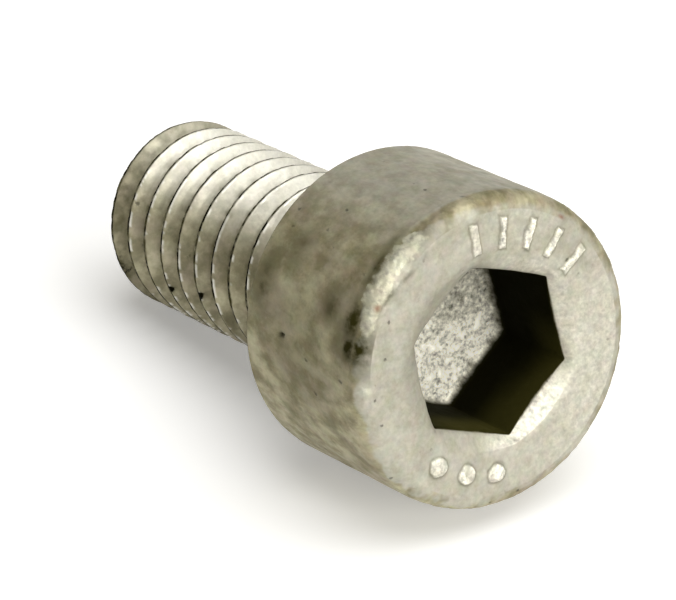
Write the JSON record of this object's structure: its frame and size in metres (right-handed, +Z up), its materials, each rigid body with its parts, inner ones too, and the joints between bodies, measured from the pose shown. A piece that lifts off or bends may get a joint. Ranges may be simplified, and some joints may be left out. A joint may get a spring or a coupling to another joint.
{
  "type": "socket head cap screw",
  "caption": "Short zinc-coated cap screw with a round head, a hexagon socket and a right-hand thread, lying on its side.",
  "frame": {"origin": "on the surface the screw lies on, under the middle of its bounding box", "axes": "+Z up, +Y from the head towards the tip along the lying screw, +X to the right seen from the head"},
  "size_m": [0.0098, 0.0189, 0.0106],
  "materials": {
    "zinc_coated_steel": "dull grey zinc coat with a rough grain, slightly olive on the side of the head"
  },
  "bodies": {
    "root": {"cap_screw": "zinc_coated_steel"}
  },
  "joints": []
}
